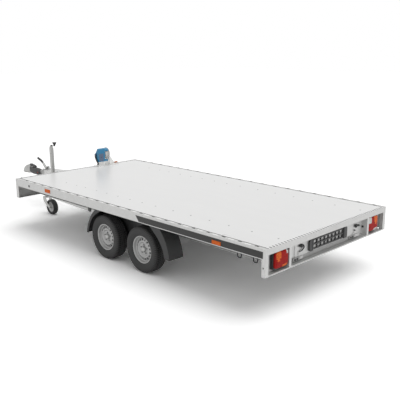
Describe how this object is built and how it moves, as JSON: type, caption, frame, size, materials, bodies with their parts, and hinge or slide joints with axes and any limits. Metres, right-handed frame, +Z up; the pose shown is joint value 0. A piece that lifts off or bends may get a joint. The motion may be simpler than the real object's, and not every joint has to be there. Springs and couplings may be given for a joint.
{
  "type": "flatbed trailer with two axles",
  "caption": "Flatbed trailer with tandem axles, ramp bay and rear hatch, overrun coupling, jockey wheel and a hand winch at the front of a flat floor.",
  "frame": {"origin": "on the ground, in the middle of the trailer's length and width", "axes": "+X forward to the coupling, +Y to the left, +Z up"},
  "size_m": [6.21, 2.162, 1.127],
  "materials": {
    "galvanised": "matt zinc",
    "zinc_casting": "zinc plated",
    "wheel_silver": "silver paint",
    "dark_steel": "satin black",
    "floor": "coated plywood, light grey",
    "guard_plastic": "matt",
    "black_plastic": "matt",
    "blue_plastic": "satin",
    "red_lens": "gloss",
    "amber_lens": "gloss",
    "orange_hook": "satin",
    "tyre": "matt",
    "black_rubber": "matt"
  },
  "bodies": {
    "frame": {"floor_rear": "floor", "floor_front": "floor", "side_rail_left": "galvanised", "side_rail_right": "galvanised", "chassis_rail_left": "galvanised", "chassis_rail_right": "galvanised", "cross_members": "galvanised", "bay_beam": "galvanised", "drawbar_left": "galvanised", "drawbar_right": "galvanised", "drawbar_plate": "galvanised", "front_beam": "galvanised", "rear_beam": "galvanised", "mudguard_left": "guard_plastic", "mudguard_right": "guard_plastic", "axle_front": "galvanised", "axle_rear": "galvanised", "overrun_housing": "zinc_casting", "bellows": "black_rubber", "coupling_head": "zinc_casting", "coupling_handle": "black_plastic", "handbrake_lever": "zinc_casting", "handbrake_grip": "black_plastic", "brake_rod": "zinc_casting", "jockey_clamp": "zinc_casting", "jockey_tube": "zinc_casting", "jockey_foot": "zinc_casting", "jockey_crank": "black_plastic", "tail_lamp_left": "black_plastic", "tail_lamp_right": "black_plastic", "tail_lens_left": "red_lens", "tail_lens_right": "red_lens", "side_markers": "amber_lens", "lashing_hooks": "dark_steel", "winch_frame": "zinc_casting", "winch_cover": "blue_plastic", "winch_hook": "orange_hook"},
    "wheel_front_left": {"tyre_front_left": "tyre", "rim_front_left": "wheel_silver", "hub_front_left": "zinc_casting"},
    "wheel_front_right": {"tyre_front_right": "tyre", "rim_front_right": "wheel_silver", "hub_front_right": "zinc_casting"},
    "wheel_rear_left": {"tyre_rear_left": "tyre", "rim_rear_left": "wheel_silver", "hub_rear_left": "zinc_casting"},
    "wheel_rear_right": {"tyre_rear_right": "tyre", "rim_rear_right": "wheel_silver", "hub_rear_right": "zinc_casting"},
    "jockey_swivel": {"jockey_fork": "zinc_casting"},
    "jockey_wheel": {"jockey_tyre": "tyre", "jockey_rim": "wheel_silver"},
    "hatch": {"ramp_hatch": "galvanised", "plate_holder": "black_plastic", "plate_lamps": "black_plastic", "hatch_hooks": "black_rubber", "hatch_catches": "zinc_casting"},
    "winch_drum": {"winch_drum": "zinc_casting"},
    "winch_crank": {"winch_crank": "dark_steel"}
  },
  "joints": [
    {"name": "spin_front_left", "type": "hinge", "parent": "frame", "child": "wheel_front_left", "pos_m": [-0.625, 0.961, 0.267], "axis": [0, 1, 0], "continuous": true},
    {"name": "spin_front_right", "type": "hinge", "parent": "frame", "child": "wheel_front_right", "pos_m": [-0.625, -0.961, 0.267], "axis": [0, 1, 0], "continuous": true},
    {"name": "spin_rear_left", "type": "hinge", "parent": "frame", "child": "wheel_rear_left", "pos_m": [-1.305, 0.961, 0.267], "axis": [0, 1, 0], "continuous": true},
    {"name": "spin_rear_right", "type": "hinge", "parent": "frame", "child": "wheel_rear_right", "pos_m": [-1.305, -0.961, 0.267], "axis": [0, 1, 0], "continuous": true},
    {"name": "jockey_steer", "type": "hinge", "parent": "frame", "child": "jockey_swivel", "pos_m": [1.775, 0.37195, 0.255], "axis": [0, 0, 1], "continuous": true},
    {"name": "jockey_spin", "type": "hinge", "parent": "jockey_swivel", "child": "jockey_wheel", "pos_m": [1.65, 0.37195, 0.115], "axis": [0, 1, 0], "continuous": true},
    {"name": "hatch_swing", "type": "hinge", "parent": "frame", "child": "hatch", "pos_m": [-3.0473, 0, 0.628], "axis": [0, 1, 0], "range_deg": [0, 70]},
    {"name": "winch_drum_turn", "type": "hinge", "parent": "frame", "child": "winch_drum", "pos_m": [1.327, -0.42, 0.885], "axis": [0, 1, 0], "continuous": true},
    {"name": "winch_crank_turn", "type": "hinge", "parent": "frame", "child": "winch_crank", "pos_m": [1.327, -0.3, 0.885], "axis": [0, 1, 0], "continuous": true}
  ],
  "couplings": [
    {"joint": "winch_crank_turn", "follows": "winch_drum_turn", "ratio": 4}
  ]
}
